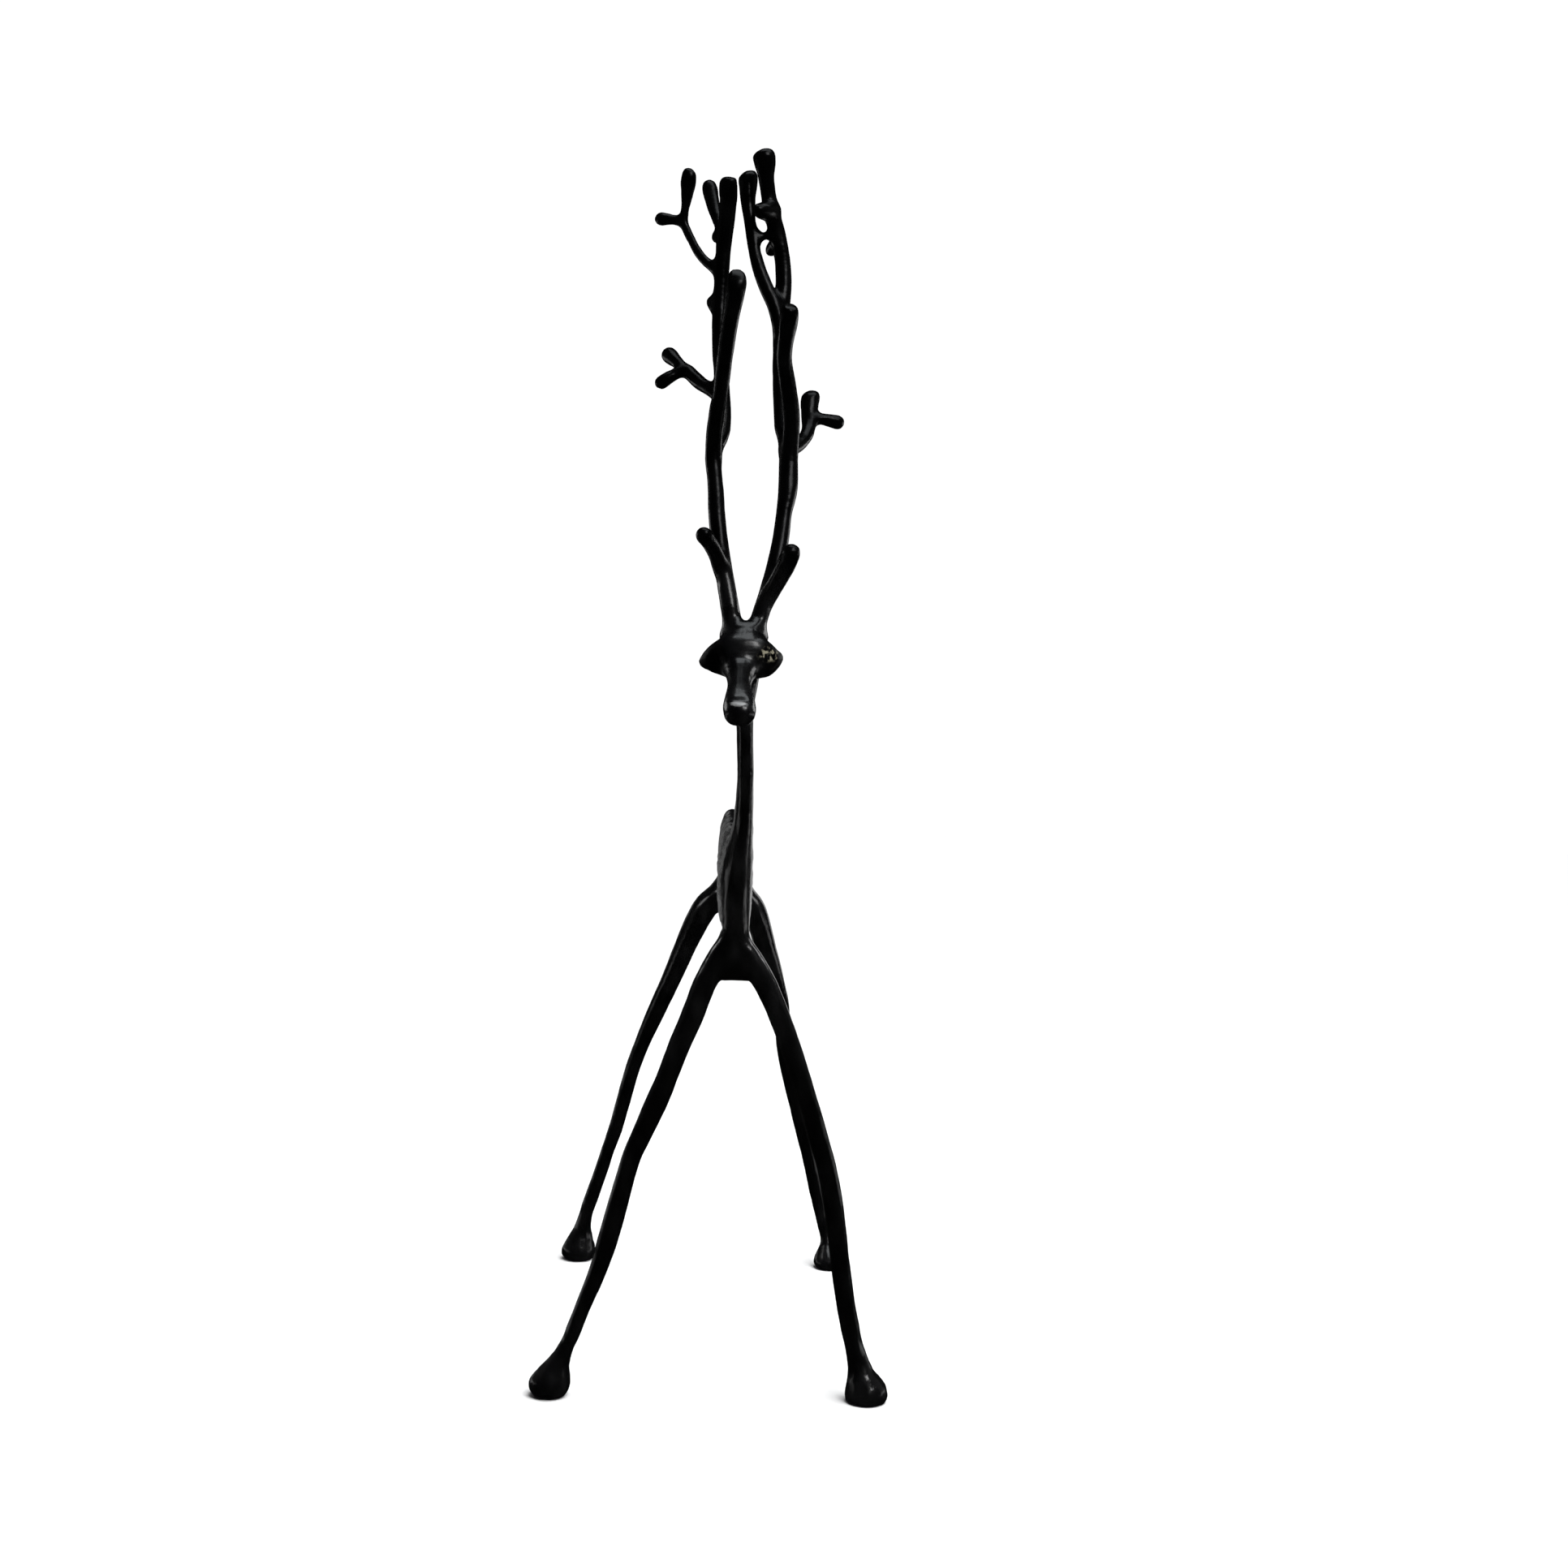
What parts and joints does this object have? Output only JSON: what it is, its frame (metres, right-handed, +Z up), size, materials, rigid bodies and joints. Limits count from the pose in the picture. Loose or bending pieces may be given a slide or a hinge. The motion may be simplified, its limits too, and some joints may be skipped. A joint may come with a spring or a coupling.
{
  "type": "reindeer figure",
  "caption": "Slender standing reindeer cast in dark metal, with a plank-thin body, a lowered head, tall forked antlers and splayed legs that end in bell-shaped hooves.",
  "frame": {"origin": "on the ground under the soles, at the centre of the bounding box", "axes": "+X to the right as the figure is seen from the front, +Y from its head to its tail, +Z up"},
  "size_m": [0.1436, 0.2636, 0.5001],
  "materials": {
    "black_patina": "near-black patina, waxed to a soft gloss, rubbed paler on the flanks and edges"
  },
  "bodies": {
    "root": {"reindeer": "black_patina"}
  },
  "joints": []
}
